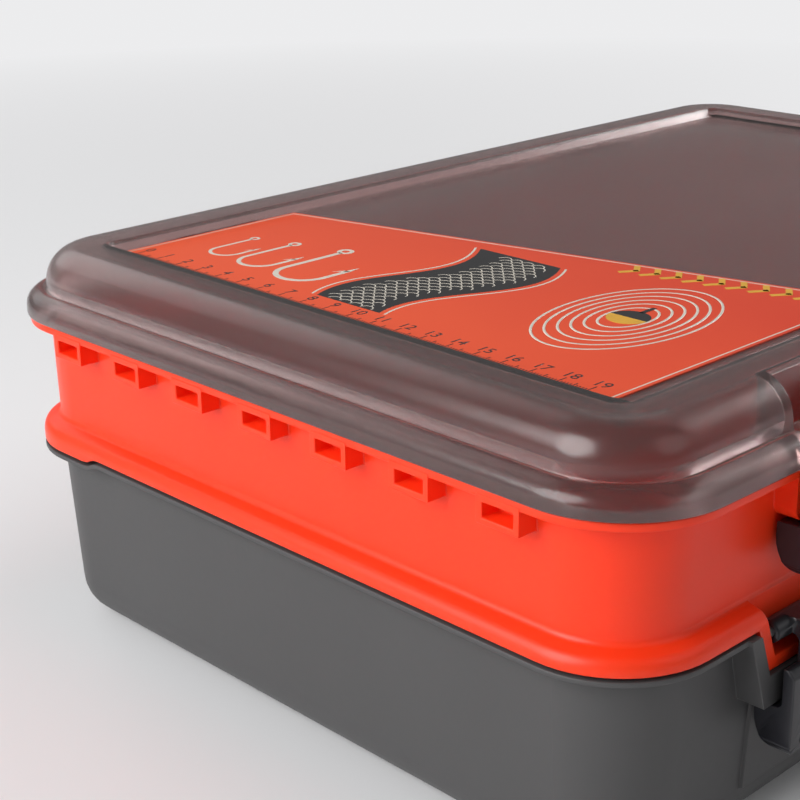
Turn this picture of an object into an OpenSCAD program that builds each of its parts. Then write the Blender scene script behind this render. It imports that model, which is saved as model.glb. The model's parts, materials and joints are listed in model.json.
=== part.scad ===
// Two-tier fishing tackle box: a drafted lower box, a tray that lifts up on
// a rear hinge, and a domed lid on a rear hinge of its own.
// The origin is the centre of the base: +X to the right, +Y to the back.
// Every ring of wall is drawn as a cross-section of [inset, height] points,
// where inset is the distance inwards from the outline of the lid rim.

/* [Overall] */
// Length over the lid rim
body_length = 385; // [340:1:430]
// Depth over the lid rim
body_depth = 270; // [262:1:290]
// Corner radius of the lid rim, seen from above
corner_radius = 32; // [32:0.5:36]
// Wall of the moulded shells
wall = 2.2; // [1.8:0.1:2.5]
// Draft of the lower box's walls, in degrees
draft = 3.2; // [2:0.1:3.6]
// Gap between two shells that rest on each other
seat_gap = 0.3; // [0.2:0.05:0.5]

/* [Lower box] */
// Height of the lower box
lower_height = 69; // [66:0.2:76]
// Inset of its wall at the top
lower_inset = 8; // [7.9:0.1:8.4]
// Radius of the rounded base edge
base_fillet = 13.5; // [10:0.5:15]
// Inset of the rim that the tray's skirt fits over
rim_inset = 4.9; // [4.7:0.1:5.4]
// Thickness of the ledge below the skirt
ledge_height = 1.5; // [1.2:0.1:2]
// Gap between that ledge and the skirt
ledge_gap = 1.1; // [0.8:0.1:1.5]
// How far the latch pads stand out of the front wall
pad_proud = 1; // [0.6:0.1:1.4]
// Half width of those pads
pad_half = 24; // [20:0.5:27]

/* [Tray] */
// Height of the tray from its seat to its top
tray_height = 38.6; // [37:0.2:44]
// Inset of its wall at the top
tray_inset = 7.3; // [7.2:0.1:7.6]
// Draft of the tray's walls, in degrees
tray_draft = 1.2; // [0.8:0.1:1.5]
// Floor of the tray
tray_floor = 2.4; // [2:0.1:3]
// Inset of the skirt around its foot
skirt_inset = 2.2; // [2:0.1:2.5]
// Wall of that skirt
skirt_wall = 1.5; // [1.2:0.1:1.6]
// How far the skirt hangs below the seat
skirt_drop = 2.4; // [1.6:0.1:2.6]
// How much further the skirt hangs near the rear corners
corner_drop = 2.2; // [1:0.1:2.4]
// Where the skirt starts to hang further, from the middle of the depth
corner_start = 82; // [70:1:88]
// Height of the skirt's straight part above its lower edge
skirt_straight = 0.8; // [0.5:0.1:1.2]
// Run of the flange's rounded edge
flange_round = 3.4; // [3:0.1:3.8]
// Height of that edge
flange_height = 4.2; // [3.8:0.1:4.3]
// Height above the seat at which the flange has run into the wall
flange_rise = 5.1; // [5:0.1:6]
// Radius of the fillet between flange and wall
flange_fillet = 2.1; // [1.6:0.1:2.2]
// Inset of the band around its mouth
band_inset = 1; // [0.8:0.1:1.4]
// Height of that band
band_height = 2.4; // [2:0.1:3]

/* [Sockets] */
// Sockets on each side of the tray
socket_count = 7; // [3:2:7]
// Distance from one socket to the next
socket_pitch = 30.5; // [26:0.5:31]
// Width of a socket's window
socket_window = 10.2; // [8:0.2:12]
// Height of a socket's window
socket_height = 4; // [3:0.2:5]
// Depth of a socket's window
socket_depth = 6; // [4:0.2:6.4]
// Frame of a socket
socket_frame = 1.9; // [1.5:0.1:2.2]
// Thickness of a socket's roof below the band
socket_roof = 1; // [0.8:0.1:1.4]

/* [Lid] */
// Height of the lid's rounded rim
lid_rim = 7.8; // [7:0.1:8.4]
// Height of the rim's straight side
lid_side = 2.7; // [2.2:0.1:3.2]
// Inset of the groove between rim and dome
groove_inset = 6.2; // [6:0.1:6.3]
// How far the groove lies below the rim
groove_drop = 0.5; // [0.3:0.1:0.8]
// Inset of the dome's foot
dome_foot = 6.5; // [6.4:0.1:6.8]
// Inset of the dome's wall where it starts to round
dome_shoulder = 6.8; // [6.8:0.1:7.2]
// Height of that wall
dome_side = 1.8; // [1.4:0.1:2.4]
// Height of the dome above the rim
dome_rise = 13; // [12:0.1:18]
// Run of the dome's rounded edge
dome_round = 11; // [9:0.1:11.4]
// Inset of the recessed top panel
panel_inset = 30; // [28:0.5:31]
// Depth of that panel
panel_drop = 3.5; // [2.6:0.1:4]
// Run of the slope down to the panel
panel_slope = 2.4; // [1.5:0.1:3]
// How far the lid's locating rib reaches into the tray
rib_reach = 3.6; // [3:0.1:4.5]
// Thickness of that rib
rib_wall = 1.6; // [1.2:0.1:1.8]
// Gap between that rib and the tray's wall
rib_gap = 0.6; // [0.5:0.05:0.8]

/* [Label] */
// Length of the label along its back edge
label_back = 75; // [60:1:110]
// Length of the label along its front edge
label_front = 120; // [80:1:140]
// Distance from the panel's edge to the label, at the side and the back
label_margin = 1; // [0.5:0.1:2]
// Distance from the panel's front edge to the label
label_front_margin = 5; // [2:0.5:8]
// Thickness of the label
label_thickness = 0.3; // [0.2:0.05:0.5]

/* [Latches] */
// Distance of each latch from the middle of the box
latch_x = 106.5; // [96:0.5:112]
// Width of an upper latch's lever
upper_lever = 44; // [40:1:46]
// Width of a lower latch's lever
lower_lever = 52; // [48:1:54]
// Thickness of a latch's lever
lever_wall = 3.6; // [3:0.1:3.8]
// Width of an upper latch's eye
upper_eye_width = 32; // [26:1:34]
// Radius of a latch's eye
eye_radius = 3.2; // [3:0.1:3.3]
// Inset of the upper latches' pivots
upper_pivot_inset = 3.5; // [3.4:0.1:3.8]
// Height of those pivots above the lid's lower edge
upper_pivot_rise = 2; // [1.9:0.1:2.2]
// Inset of the lower latches' pivots
lower_pivot_inset = 4; // [3.9:0.1:4.1]
// Height of the floor of the dome's notches above the lid's lower edge
notch_rise = 2.9; // [2.6:0.1:3.4]
// Width of a lower latch between its eye and its lever
lower_neck_width = 40; // [34:1:42]
// Distance from an upper latch's pivot down to its hook
upper_hook_drop = 17.2; // [16.5:0.1:18.7]
// Distance from a lower latch's pivot down to its hook
lower_hook_drop = 20.2; // [19:0.1:21]
// Distance from an upper latch's pivot down to its end
upper_drop = 31; // [30.5:0.1:33]
// Distance from a lower latch's pivot down to its end
lower_drop = 33.5; // [33:0.1:34.5]
// Reach of the hook behind the pivot
hook_reach = 2.9; // [2:0.1:3.1]
// Radius of the latch pins
latch_pin_r = 1.5; // [1.2:0.05:1.6]
// Width of an upper keeper block
upper_keeper_width = 44; // [42:1:50]
// Inset of the upper keeper blocks' front
keeper_inset = 0.8; // [0.8:0.1:1.4]
// Distance of a lower latch's pivot below the tray's seat
lower_pivot_drop = 5.6; // [4:0.1:7]
// Height of the shelf below a lower latch
shelf_height = 3.7; // [3:0.1:4.2]
// Half width of a latch bay at its top
bay_half = 32.5; // [32:0.5:34]
// How much a latch bay narrows towards its foot, on each side
bay_taper = 5; // [3:0.5:5.5]
// Depth of a latch bay below the tray's seat
bay_drop = 15.9; // [15:0.1:17]
// Thickness of a latch bay's cheeks
bay_cheek = 4.3; // [4:0.1:5]
// Thickness of a latch bay's back wall
bay_wall = 1.1; // [1:0.1:1.2]
// Radius of the levers' lower corners
corner_round = 3; // [2:0.1:4]
// Radius of the upper keepers' lower corners
keeper_round = 4; // [3:0.1:5]
// How far a lower keeper block reaches past its bay on each side
keeper_side = 4.5; // [2:0.1:5]
// How much a lower keeper block narrows towards its foot, on each side
keeper_taper = 7; // [4:0.5:8]
// Depth of a latch pin's end behind the outside of the bay's cheek
pin_cover = 1.2; // [1:0.1:1.6]
// Length of an upper latch pin inside the lid's rim, on each side
pin_grip = 4.2; // [3:0.1:5]
// Depth of the curve under a latch's hook
hook_curve = 8.5; // [7.5:0.1:8.8]
// Height of that curve
hook_rise = 9.1; // [8:0.1:9.8]
// Distance from an upper latch's pivot down to the top of its lever's full width
upper_top = 2; // [1.9:0.1:2.2]
// Distance from a lower latch's pivot down to the top of its lever's full width
lower_top = 8.6; // [8:0.1:9]
// Chamfer at that top
lever_chamfer = 2; // [1:0.1:2.5]
// Chamfer at a lever's foot
foot_chamfer = 1.2; // [0.6:0.1:1.6]
// Chamfer of a latch's hook
hook_chamfer = 0.8; // [0.4:0.1:1]
// Depth of the finger recess in a lever
recess_depth = 0.7; // [0.4:0.1:1]
// Distance of that recess from the lever's sides
recess_side = 4.5; // [3:0.1:6]
// Distance of that recess from the lever's foot
recess_foot = 3; // [2:0.1:4]
// Distance of that recess from the lever's top
recess_top = 3; // [2.5:0.1:4]
// Grip bars in the recess
grip_bars = 3; // [2:1:4]
// Distance between those bars
grip_pitch = 3.4; // [3:0.1:3.6]
// Width of a grip bar
grip_width = 1.6; // [1.2:0.1:2]

/* [Hinges] */
// Distance of each hinge from the middle of the box
hinge_x = 100; // [80:1:120]
// Radius of the hinge knuckles
knuckle_radius = 3.5; // [3.2:0.1:3.6]
// Distance of the hinge axes behind the lid rim
hinge_back = 1.3; // [1.3:0.1:1.6]
// Length of the middle knuckle
knuckle_middle = 18; // [14:1:24]
// Length of the knuckles beside it
knuckle_side = 9; // [7:0.5:12]
// Radius of the hinge pins
hinge_pin_r = 1.5; // [1.2:0.05:1.7]

/* [Handle] */
// Distance between the middles of the handle's arms
handle_span = 118; // [100:2:120]
// Height of the handle's pivots
handle_z = 55.5; // [53:0.5:56]
// Distance from the handle's pivots down to its grip
handle_drop = 36; // [30:0.5:38]
// Inset of the handle's pivots
handle_inset = 3; // [2.8:0.1:3.2]
// Radius of the handle's bar
handle_r = 4.1; // [3.5:0.1:4.1]
// Radius of the handle's bends, to the middle of its bar
handle_bend = 14; // [8:1:18]
// Width of the handle's eyes
handle_eye = 9; // [8.4:0.1:11]
// Radius of the handle's pins
handle_pin_r = 2; // [1.6:0.1:2.4]
// Radius of the handle's eyes
handle_eye_r = 5; // [4.6:0.1:5.2]
// Thickness of the ears that carry the handle
handle_ear = 4; // [3:0.5:5]
// Radius of those ears
handle_ear_r = 4.4; // [4:0.1:4.6]

/* [Dividers] */
// Thickness of the removable dividers
divider_wall = 1.7; // [1.2:0.1:2]
// Gap between a divider and the ribs that hold it
divider_gap = 0.3; // [0.2:0.05:0.4]
// Depth of the ribs that hold the dividers
slot_rib = 2.2; // [1.6:0.1:2.6]
// Thickness of those ribs
slot_rib_wall = 1.2; // [1:0.1:1.6]
// Distance from the tray's top to the top of its dividers
tray_divider_drop = 4.2; // [4:0.1:6]
// Place of the long divider of the lower box, towards the back
lower_divider_y = 20; // [0:1:40]
// Height of the lower box's dividers
lower_divider_height = 55.5; // [40:0.5:58]
// Length of the middle compartments at the back of the lower box
back_compartment_length = 90; // [60:1:100]
// Notches in the top of each tray divider
divider_notches = 5; // [3:1:6]
// Distance between those notches
notch_pitch = 60; // [40:1:65]
// Radius of those notches
notch_radius = 6; // [4:0.5:8]

/* [Hidden] */
$fn = 48;
running = 0.06;     // radial clearance of a pin in the piece that turns on it
snug = 0.02;        // radial clearance of a pin in the piece that holds it
gap = 0.3;          // gap between pieces that pass each other
embed = 1.2;        // how far a boss or rib runs into the wall that it grows from
lap = 0.5;          // how far a level plate runs into the wall around it
corner_slope = 9;   // run of the step at which the skirt starts to hang further
half_l = body_length / 2;
half_d = body_depth / 2;
corner_end = half_d - corner_radius * 0.4;      // where the skirt stops hanging further

// heights of the shells, from the base up
seat_z = lower_height + seat_gap;
skirt_z = seat_z - skirt_drop;
ledge_z = skirt_z - ledge_gap;
flange_mid_z = skirt_z + skirt_straight;
flange_z = seat_z + flange_rise;
tray_top = seat_z + tray_height;
band_z = tray_top - band_height;
lid_z = tray_top + seat_gap;
rim_z = lid_z + lid_rim;
notch_z = lid_z + notch_rise;
round_z = rim_z + dome_side;                // where the dome starts to round
top_z = rim_z + dome_rise;
panel_z = top_z - panel_drop;
dome_flat = dome_shoulder + dome_round;     // inset where the dome's top is level
base_inset = lower_in(base_fillet) + base_fillet;

// latches
upper_pivot_y = upper_pivot_inset - half_d;
lower_pivot_y = lower_pivot_inset - half_d;
upper_pivot_z = lid_z + upper_pivot_rise;
lower_pivot_z = seat_z - lower_pivot_drop;
lever_proud = hinge_back + knuckle_radius;  // the levers' faces lie as far out as the hinges
upper_bay = upper_eye_width + 1;            // width of the gap in the lid's rim
bay_z = seat_z - bay_drop;
shelf_z = bay_z + shelf_height;
notch_half = upper_bay / 2;
notch_back = dome_flat - wall;              // inset of the back of the dome's notches
lower_eye_width = 2 * (bay_at(lower_pivot_z - eye_radius) - bay_cheek - gap);
pin_half = bay_at(lower_pivot_z) - pin_cover;   // half length of a lower latch's pin
bay_back = lower_pivot_inset + eye_radius + 0.4;    // inset of a bay's back wall
upper_keeper_z = upper_pivot_z - upper_hook_drop + gap;
lower_keeper_z = lower_pivot_z - lower_hook_drop + gap;

// hinges
hinge_y = half_d + hinge_back;
lid_hinge_z = (tray_top + lid_z) / 2;
tray_hinge_z = (lower_height + seat_z) / 2;
knuckle_half = knuckle_middle / 2 + gap + knuckle_side;
turning_r = knuckle_radius + gap;           // space cut around a knuckle that turns

// handle
handle_y = handle_inset - half_d;
arm_x = handle_span / 2;
ear_x = handle_eye / 2 + gap;               // from the middle of an arm to its ears

// dividers
rib_place = (divider_wall + slot_rib_wall) / 2 + divider_gap;   // from a divider's middle to a rib's

// ---- outlines ----

// points of an arc or a quarter ellipse around [cx, cz]
function arc(cx, cz, rx, rz, a0, a1, n = 7) =
    [for (i = [0:n]) let (a = a0 + (a1 - a0) * i / n) [cx + rx * cos(a), cz + rz * sin(a)]];

// distance of a face from the middle of the box, summed as it is at the corners
function edge(inset, half) = (corner_radius - inset) + (half - corner_radius);

// inset of the outer face of the two drafted walls at a height
function lower_in(z) = lower_inset + (lower_height - z) * tan(draft);
function tray_in(z) = tray_inset + (tray_top - z) * tan(tray_draft);

// inset of the lower box's inner face, with its rounded base edge
function lower_inner(z) = z >= base_fillet ? lower_in(z) + wall
    : base_inset - sqrt(pow(base_fillet - wall, 2) - pow(base_fillet - z, 2));

lower_profile = concat([[base_inset + lap, 0]],
    arc(base_inset, base_fillet, base_fillet, base_fillet, 270, 180),
    [[lower_in(ledge_z - lap), ledge_z - lap], [rim_inset, ledge_z - lap], [rim_inset, lower_height],
     [lower_inset + wall, lower_height]],
    arc(base_inset, base_fillet, base_fillet - wall, base_fillet - wall, 180, 270),
    [[base_inset + lap, wall]]);

tray_floor_inset = tray_in(seat_z + tray_floor) + wall;
skirt_inner = skirt_inset + skirt_wall;
tray_profile = concat(
    [[skirt_inset, skirt_z]],
    arc(skirt_inset + flange_round, flange_mid_z, flange_round, flange_height, 180, 100),
    arc(tray_in(flange_z) - flange_fillet, flange_z, flange_fillet, flange_fillet, 270, 360, 5),
    [[tray_in(band_z), band_z], [band_inset, band_z], [band_inset, tray_top],
     [tray_inset + wall, tray_top], [tray_floor_inset, seat_z + tray_floor],
     [tray_floor_inset, seat_z], [skirt_inner, seat_z], [skirt_inner, skirt_z]]);

dome_outline = concat([[dome_foot, rim_z]],
    arc(dome_flat, round_z, dome_round, top_z - round_z, 180, 90, 12));
rib_outer = tray_inset + wall + rib_gap;
lid_profile = concat(
    [[0, lid_z]],
    arc(groove_inset, lid_z + lid_side, groove_inset, lid_rim - lid_side, 180, 100, 9),
    [[groove_inset, rim_z - groove_drop]],
    dome_outline,
    [[panel_inset - panel_slope, top_z], [panel_inset, panel_z], [panel_inset + lap, panel_z],
     [panel_inset + lap, panel_z - wall], [panel_inset - wall, panel_z - wall],
     [panel_inset - panel_slope - wall, top_z - wall]],
    arc(dome_flat, round_z, dome_round - wall, top_z - round_z - wall, 90, 180, 12),
    [[rib_outer + rib_wall, lid_z + lid_side], [rib_outer + rib_wall, lid_z - rib_reach],
     [rib_outer, lid_z - rib_reach], [rib_outer, lid_z]]);

// ---- building blocks ----

// a wall all round the box, with the cross-section given
module ring(profile) {
    for (k = [0, 1]) {
        mirror([k, 0, 0]) bar_y(corner_radius - half_d, half_d - corner_radius)
            polygon([for (p = profile) [edge(p[0], half_l), p[1]]]);
        mirror([0, k, 0]) bar_x(corner_radius - half_l, half_l - corner_radius)
            polygon([for (p = profile) [edge(p[0], half_d), p[1]]]);
    }
    for (kx = [0, 1], ky = [0, 1]) mirror([kx, 0, 0]) mirror([0, ky, 0])
        translate([half_l - corner_radius, half_d - corner_radius, 0])
            rotate_extrude(angle = 90) polygon([for (p = profile) [corner_radius - p[0], p[1]]]);
}

// a level plate that fills the ring inwards from an inset
module plate(inset, z0, z1) {
    translate([0, 0, z0]) linear_extrude(z1 - z0) {
        square([body_length - 2 * inset, body_depth - 2 * corner_radius], center = true);
        square([body_length - 2 * corner_radius, body_depth - 2 * inset], center = true);
        for (x = [-1, 1], y = [-1, 1])
            translate([x * (half_l - corner_radius), y * (half_d - corner_radius)])
                circle(corner_radius - inset);
    }
}

// an outline of [y, z] points, run along X
module bar_x(x0, x1) {
    translate([x0, 0, 0]) rotate([90, 0, 90]) linear_extrude(x1 - x0) children();
}

// an outline of [x, z] points, run along Y
module bar_y(y0, y1) {
    translate([0, y1, 0]) rotate([90, 0, 0]) linear_extrude(y1 - y0) children();
}

// a rod along X, around [y, z]
module rod(x0, x1, y, z, r) {
    translate([x0, y, z]) rotate([0, 90, 0]) cylinder(h = x1 - x0, r = r);
}

// a box by its two corners
module block(a, b) {
    translate(a) cube(b - a);
}

// a rectangle whose two lower corners are rounded
module rounded_foot(x, z0, z1, r) {
    translate([-x, z0 + r]) square([2 * x, z1 - z0 - r]);
    translate([r - x, z0]) square([2 * (x - r), z1 - z0]);
    for (s = [-1, 1]) translate([s * (x - r), z0 + r]) circle(r);
}

// knuckles that carry a hinge pin: those of the upper shell sit above the axis
module knuckle(x0, x1, z, up, reach) {
    low = up ? z + 0.15 : z - knuckle_radius;
    high = up ? z + knuckle_radius : z - 0.15;
    rod(x0, x1, hinge_y, z, knuckle_radius);
    block([x0, hinge_y - reach, low], [x1, hinge_y, high]);
}

// the two outer knuckles' ranges along X, from the middle of a hinge
side_knuckles = [[-knuckle_half, -knuckle_middle / 2 - gap], [knuckle_middle / 2 + gap, knuckle_half]];
middle_knuckle = [-knuckle_middle / 2, knuckle_middle / 2];

// ---- lower box ----

module lower_box_shell() {
    color("dimgray") difference() {
        union() {
            ring(lower_profile);
            plate(base_inset + lap / 2, 0, wall);
            ledge();
            for (s = [-1, 1]) {
                translate([s * latch_x, 0, 0]) lower_keeper();
                translate([s * hinge_x, 0, 0]) for (k = side_knuckles)
                    knuckle(k[0], k[1], tray_hinge_z, false, hinge_back + rim_inset + embed);
                for (e = [-ear_x - handle_ear, ear_x]) translate([s * arm_x + e, 0, 0]) handle_ear_plate();
            }
            long_divider_ribs();
            cross_divider_ribs();
        }
        for (s = [-1, 1]) {
            translate([s * latch_x, 0, 0]) bay_clearance();
            translate([s * hinge_x, 0, 0]) {
                rod(middle_knuckle[0] - gap, middle_knuckle[1] + gap, hinge_y, tray_hinge_z, turning_r);
                rod(-knuckle_half - 1, knuckle_half + 1, hinge_y, tray_hinge_z, hinge_pin_r + snug);
            }
            rod(s * arm_x - ear_x - handle_ear - 1, s * arm_x + ear_x + handle_ear + 1,
                handle_y, handle_z, handle_pin_r + snug);
        }
    }
}

// ledge all round, flush with the tray's skirt and lower where the skirt hangs further
module ledge() {
    end = half_d + 1;
    intersection() {
        ring([[skirt_inset, ledge_z], [lower_inset + wall / 2, ledge_z],
              [lower_inset + wall / 2, ledge_z - corner_drop - ledge_height],
              [skirt_inset, ledge_z - corner_drop - ledge_height]]);
        bar_x(-half_l - 1, half_l + 1) polygon(concat(
            [[-end, ledge_z]], corner_step(ledge_z, corner_drop, gap), [[end, ledge_z]],
            [[end, ledge_z - ledge_height]],
            reversed(corner_step(ledge_z - ledge_height, corner_drop, gap + ledge_height / 2)),
            [[-end, ledge_z - ledge_height]]));
    }
}

// the stretch along Y, as [y, z] points, over which skirt and ledge hang further
function corner_step(z, drop, spread) = let (start = corner_start - spread, end = corner_end + spread)
    [[start, z], [start + corner_slope * 0.3, z - drop * 0.15],
     [start + corner_slope * 0.7, z - drop * 0.85], [start + corner_slope, z - drop],
     [end, z - drop], [end + spread, z]];
function reversed(list) = [for (i = [len(list) - 1:-1:0]) list[i]];

// block that a lower latch hooks under, with a cheek on each side of the bay
module lower_keeper() {
    end = bay_half + keeper_side;
    foot = end - keeper_taper;
    bar_y(band_inset - half_d, lower_in(lower_keeper_z) + embed - half_d) polygon([
        [-foot, lower_keeper_z], [foot, lower_keeper_z], [end, ledge_z], [-end, ledge_z]]);
    bar_x(-pad_half, pad_half) polygon([for (p = [[lower_keeper_z + 1, -pad_proud],
        [base_fillet, -pad_proud], [base_fillet, embed], [lower_keeper_z + 1, embed]])
            [lower_in(p[0]) + p[1] - half_d, p[0]]]);
}

// room in the keeper, ledge, rim and wall for a latch bay of the tray
module bay_clearance() {
    foot = bay_at(bay_z) + 0.5;
    side = bay_half + 0.5;
    bar_y(-half_d, bay_back + bay_wall + gap - half_d) polygon([
        [-foot, bay_z - gap], [foot, bay_z - gap], [side, skirt_z], [side, lower_height + 1],
        [-side, lower_height + 1], [-side, skirt_z]]);
}

// one ear of the handle's bracket, on the front wall
module handle_ear_plate() {
    back_y = lower_in(handle_z - handle_ear_r) + embed - half_d;
    rod(0, handle_ear, handle_y, handle_z, handle_ear_r);
    block([0, handle_y, handle_z - handle_ear_r], [handle_ear, back_y, handle_z + handle_ear_r]);
}

// pairs of ribs that hold the ends of the long divider
module long_divider_ribs() {
    for (s = [0, 1], k = [-1, 1]) mirror([s, 0, 0])
        translate([0, lower_divider_y + k * rib_place, 0])
            bar_y(-slot_rib_wall / 2, slot_rib_wall / 2)
                polygon(wall_rib(half_l, base_fillet, lower_divider_height));
}

// pairs of ribs on the back wall that hold the short dividers
module cross_divider_ribs() {
    for (i = [-1:1], k = [-1, 1])
        translate([i * back_compartment_length + k * rib_place, 0, 0])
            bar_x(-slot_rib_wall / 2, slot_rib_wall / 2)
                polygon(wall_rib(half_d, base_fillet, lower_divider_height));
}

// outline of a rib on the inside of the lower box's wall, at distance half from the middle
function wall_rib(half, z0, z1) =
    [[half - lower_in(z0) - wall / 2, z0], [half - lower_in(z0) - wall - slot_rib, z0],
     [half - lower_in(z1) - wall - slot_rib, z1], [half - lower_in(z1) - wall / 2, z1]];

// ---- tray ----

module tray_shell() {
    color("orangered") difference() {
        union() {
            difference() {
                union() {
                    ring(tray_profile);
                    plate(tray_floor_inset - lap, seat_z, seat_z + tray_floor);
                    skirt_corners();
                    for (s = [-1, 1]) translate([s * latch_x, 0, 0]) {
                        latch_bay_outside();
                        upper_keeper();
                    }
                }
                for (s = [-1, 1]) translate([s * latch_x, 0, 0]) latch_bay_inside();
            }
            for (s = [-1, 1]) translate([s * hinge_x, 0, 0]) {
                knuckle(middle_knuckle[0], middle_knuckle[1], tray_hinge_z, true,
                    hinge_back + skirt_inset + skirt_wall / 2);
                for (k = side_knuckles)
                    knuckle(k[0], k[1], lid_hinge_z, false, hinge_back + band_inset + embed);
            }
            for (k = [0, 1]) mirror([k, 0, 0]) side_sockets();
            tray_divider_ribs();
        }
        for (k = [0, 1]) mirror([k, 0, 0]) side_socket_windows();
        for (s = [-1, 1]) translate([s * latch_x, 0, 0]) {
            rod(-upper_bay / 2, upper_bay / 2, upper_pivot_y, upper_pivot_z, eye_radius + 0.5);
            rod(-pin_half - gap, pin_half + gap, lower_pivot_y, lower_pivot_z, latch_pin_r + snug);
        }
        for (s = [-1, 1]) translate([s * hinge_x, 0, 0]) {
            // room for the turning knuckles of the lid, and for the lower box's own knuckles
            rod(middle_knuckle[0] - gap, middle_knuckle[1] + gap, hinge_y, lid_hinge_z, turning_r);
            rod(-knuckle_half - 1, knuckle_half + 1, hinge_y, lid_hinge_z, hinge_pin_r + snug);
            rod(middle_knuckle[0] - 1, middle_knuckle[1] + 1, hinge_y, tray_hinge_z, hinge_pin_r + running);
            for (k = side_knuckles) {
                rod(k[0] - gap, k[1] + gap, hinge_y, tray_hinge_z, turning_r);
                block([k[0] - gap, half_d - rim_inset - 0.5, skirt_z - 1],
                      [k[1] + gap, half_d, seat_z + gap]);
            }
        }
    }
}

// half width of a latch bay's outside at a height
function bay_at(z) = bay_half - bay_taper * (skirt_z - z) / (bay_drop - skirt_drop);

// part of the skirt that hangs further near the rear corners
module skirt_corners() {
    intersection() {
        ring([[skirt_inset, skirt_z + lap], [skirt_inner, skirt_z + lap],
              [skirt_inner, skirt_z - corner_drop], [skirt_inset, skirt_z - corner_drop]]);
        bar_x(-half_l - 1, half_l + 1) polygon(concat(
            [[corner_start, skirt_z + lap]], corner_step(skirt_z, corner_drop, 0),
            [[corner_end, skirt_z + lap]]));
    }
}

// cheeks, shelf and back of a latch bay, flush with the skirt
module latch_bay_outside() {
    foot = bay_at(bay_z);
    back_y = -edge(bay_back + bay_wall, half_d);
    bar_y(-edge(skirt_inset, half_d), back_y) polygon([
        [-foot, bay_z], [foot, bay_z], [bay_half, skirt_z], [bay_half, flange_mid_z],
        [-bay_half, flange_mid_z], [-bay_half, skirt_z]]);
    block([-bay_half, -edge(skirt_inset + skirt_wall / 2, half_d), skirt_z],
          [bay_half, back_y, seat_z + lap]);
}

// the space in which a lower latch turns
module latch_bay_inside() {
    bar_y(-half_d - 1, -edge(bay_back, half_d)) polygon([
        [bay_cheek - bay_at(shelf_z), shelf_z], [bay_at(shelf_z) - bay_cheek, shelf_z],
        [bay_at(flange_z + 1) - bay_cheek, flange_z + 1], [bay_cheek - bay_at(flange_z + 1), flange_z + 1]]);
}

// block under the band that an upper latch hooks under
module upper_keeper() {
    bar_y(keeper_inset - half_d, tray_in(upper_keeper_z) + embed - half_d)
        rounded_foot(upper_keeper_width / 2, upper_keeper_z, band_z + lap, keeper_round);
}

function socket_y(i) = (i - (socket_count - 1) / 2) * socket_pitch;
socket_top = band_z - socket_roof;

module side_sockets() {
    for (i = [0:socket_count - 1])
        block([half_l - tray_in(socket_top - socket_height) - embed,
               socket_y(i) - socket_window / 2 - socket_frame, socket_top - socket_height - socket_frame],
              [half_l - band_inset + 0.2, socket_y(i) + socket_window / 2 + socket_frame, band_z + 1]);
}

module side_socket_windows() {
    for (i = [0:socket_count - 1])
        block([half_l - band_inset - socket_depth, socket_y(i) - socket_window / 2,
               socket_top - socket_height],
              [half_l, socket_y(i) + socket_window / 2, socket_top]);
}

// pairs of ribs inside the side walls, one pair for each divider
module tray_divider_ribs() {
    z0 = seat_z + tray_floor - 0.1;
    z1 = tray_top - tray_divider_drop - 1;
    for (s = [0, 1], i = [0:socket_count - 1], k = [-1, 1]) mirror([s, 0, 0])
        translate([0, socket_y(i) + k * rib_place, 0])
            bar_y(-slot_rib_wall / 2, slot_rib_wall / 2) polygon([
                [half_l - tray_in(z0) - wall / 2, z0], [half_l - tray_in(z0) - wall - slot_rib, z0],
                [half_l - tray_in(z1) - wall - slot_rib, z1], [half_l - tray_in(z1) - wall / 2, z1]]);
}

// ---- lid ----

module lid_shell() {
    color([0.35, 0.33, 0.34, 0.6]) difference() {
        union() {
            ring(lid_profile);
            plate(panel_inset, panel_z - wall, panel_z);
            for (s = [-1, 1]) {
                translate([s * latch_x, 0, 0]) notch_housing();
                translate([s * hinge_x, 0, 0])
                    knuckle(middle_knuckle[0], middle_knuckle[1], lid_hinge_z, true, hinge_back + lid_side);
            }
        }
        for (s = [-1, 1]) translate([s * latch_x, 0, 0]) {
            block([-notch_half, -half_d - 1, notch_z], [notch_half, notch_back - half_d, top_z + 1]);
            block([-notch_half, -half_d - 1, lid_z - 1],
                  [notch_half, upper_pivot_y + eye_radius + 0.5, notch_z + 1]);
            rod(-notch_half - pin_grip - gap, notch_half + pin_grip + gap, upper_pivot_y, upper_pivot_z,
                latch_pin_r + snug);
        }
        for (s = [-1, 1]) translate([s * hinge_x, 0, 0]) {
            for (k = side_knuckles) rod(k[0] - gap, k[1] + gap, hinge_y, lid_hinge_z, turning_r);
            rod(middle_knuckle[0] - 1, middle_knuckle[1] + 1, hinge_y, lid_hinge_z, hinge_pin_r + running);
        }
    }
}

// floor, back and sides of a notch in the front of the dome
module notch_housing() {
    floor_z = notch_z - wall;
    bar_x(-notch_half - wall, notch_half + wall)
        polygon([for (p = concat(dome_outline, [[dome_flat, floor_z], [dome_foot, floor_z]]))
            [p[0] - half_d, p[1]]]);
}

module lid_label() {
    left = panel_inset + label_margin - half_l;
    back = half_d - panel_inset - label_margin;
    front = panel_inset + label_front_margin - half_d;
    color("tomato") translate([0, 0, panel_z]) linear_extrude(label_thickness)
        polygon([[left, back], [left + label_back, back], [left + label_front, front], [left, front]]);
}

// ---- latches and their pins ----

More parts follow.
